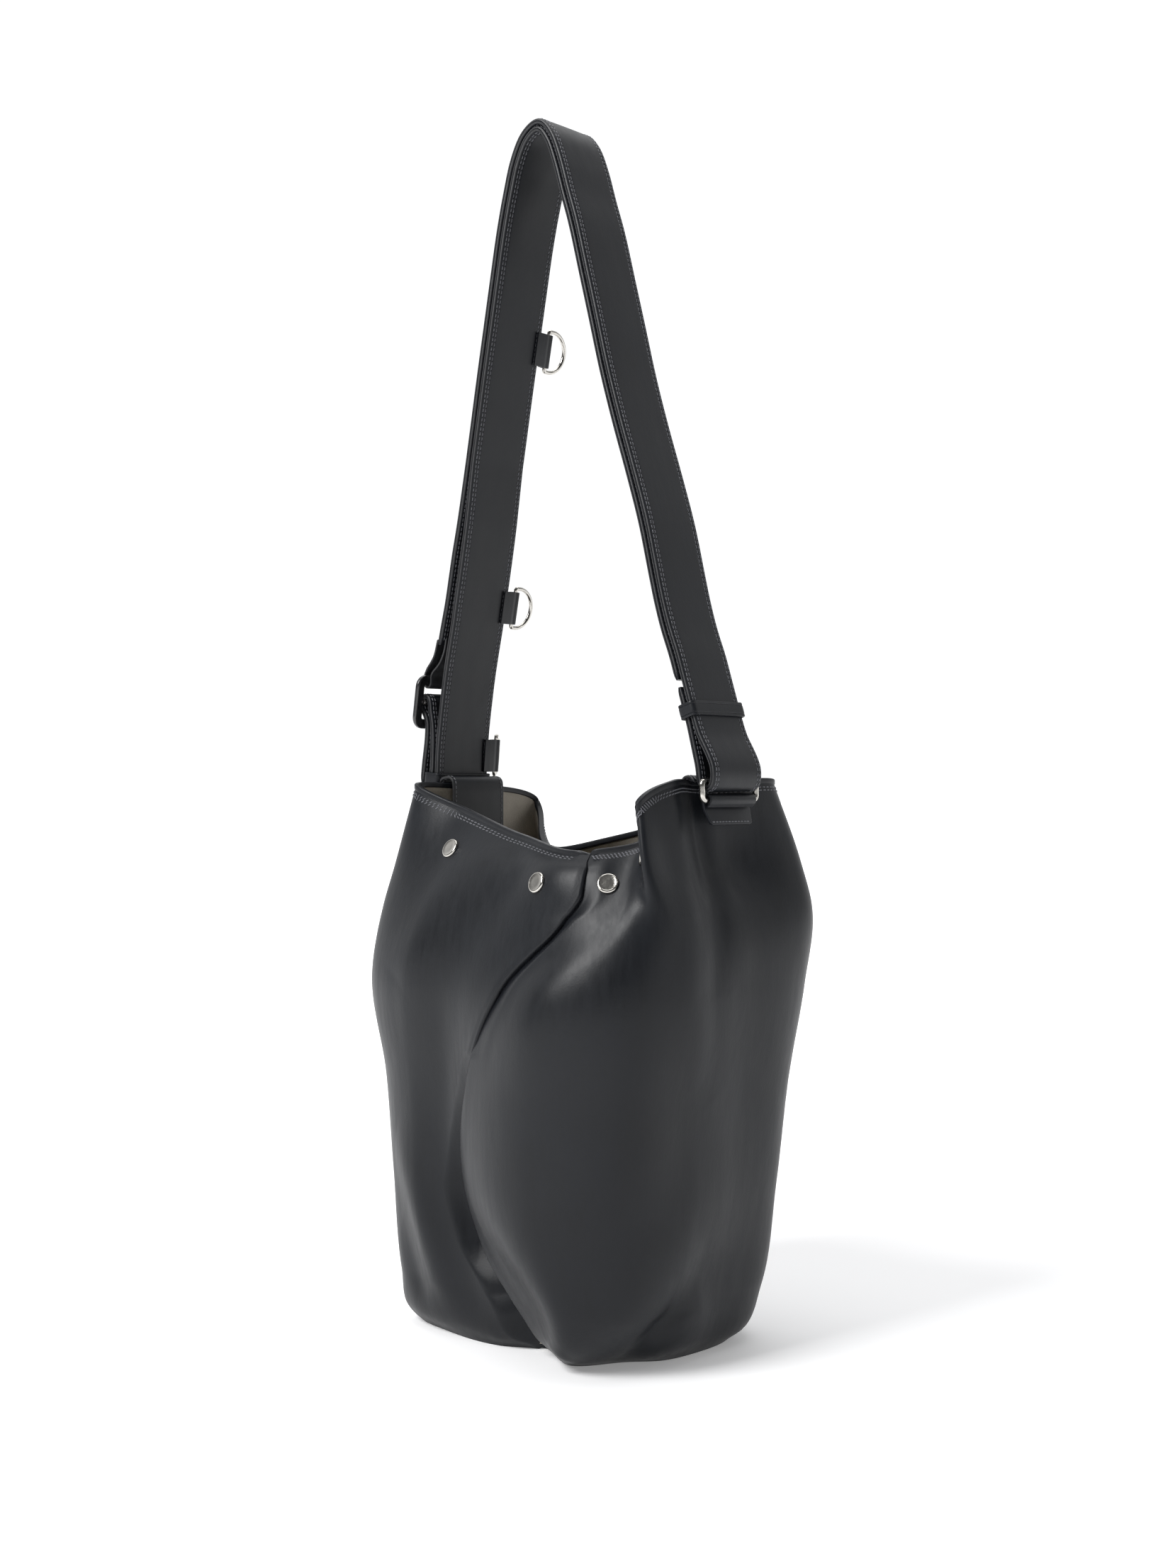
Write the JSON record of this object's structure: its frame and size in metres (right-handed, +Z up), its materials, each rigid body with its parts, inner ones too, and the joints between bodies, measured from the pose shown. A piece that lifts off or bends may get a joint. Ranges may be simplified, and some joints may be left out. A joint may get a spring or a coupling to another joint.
{
  "type": "bucket shoulder bag",
  "caption": "Soft leather bucket bag with an open dipped mouth, a suede lining, press studs on its front and a doubled belt strap with a buckle, side rings and D-rings.",
  "frame": {"origin": "on the floor under the middle of the whole object's box", "axes": "+X towards the side of the strap's plain ring, -Y towards the front with the press studs, +Z up to the top of the strap"},
  "size_m": [0.2778, 0.2268, 0.8105],
  "materials": {
    "black_leather": "smooth satin calf leather",
    "suede_lining": "matt suede",
    "base_board": "matt fibre board",
    "polished_nickel": "polished",
    "black_lacquered_metal": "gloss lacquer"
  },
  "bodies": {
    "bag": {"left_panel": "black_leather", "right_panel": "black_leather", "base_panel": "black_leather", "base_board": "base_board", "lining_wall": "suede_lining", "lining_base": "suede_lining", "rim_binding": "black_leather", "stud_caps": "polished_nickel", "stud_sockets": "polished_nickel", "right_flap": "black_leather", "left_flap": "black_leather"},
    "strap": {"right_tab": "black_leather", "left_tab": "black_leather", "right_ring": "polished_nickel", "left_ring": "polished_nickel", "outer_belt": "black_leather", "inner_belt": "black_leather", "left_keeper": "black_leather", "buckle_tab": "black_leather", "buckle_frame": "black_lacquered_metal", "buckle_bar": "polished_nickel", "dee_tab_1": "black_leather", "dee_tab_2": "black_leather", "dee_tab_3": "black_leather"},
    "keeper": {"right_keeper": "black_leather"},
    "prong": {"buckle_prong": "polished_nickel"},
    "high_dee": {"dee_ring_1": "polished_nickel"},
    "middle_dee": {"dee_ring_2": "polished_nickel"},
    "low_dee": {"dee_ring_3": "polished_nickel"}
  },
  "joints": [
    {"name": "strap_lean", "type": "hinge", "parent": "bag", "child": "strap", "pos_m": [0.0052, 0.00385, 0.366], "axis": [1, 0, 0], "range_deg": [-8, 10]},
    {"name": "keeper_slide", "type": "slide", "parent": "strap", "child": "keeper", "axis": [-0.3057, 0, 0.9521], "range_m": [-0.003, 0.009]},
    {"name": "prong_swing", "type": "hinge", "parent": "strap", "child": "prong", "pos_m": [-0.1234, 0.00385, 0.4235], "axis": [0, 1, 0], "range_deg": [0, 70]},
    {"name": "high_dee_swivel", "type": "hinge", "parent": "strap", "child": "high_dee", "pos_m": [-0.0612, 0.03785, 0.67], "axis": [0.1908, 0, 0.9816], "range_deg": [-115, 115]},
    {"name": "middle_dee_swivel", "type": "hinge", "parent": "strap", "child": "middle_dee", "pos_m": [-0.0932, 0.03785, 0.4915], "axis": [0.1908, 0, 0.9816], "range_deg": [-115, 115]},
    {"name": "low_dee_swivel", "type": "hinge", "parent": "strap", "child": "low_dee", "pos_m": [-0.1113, 0.03785, 0.3865], "axis": [0.0872, 0, 0.9962], "range_deg": [-60, 50]}
  ]
}
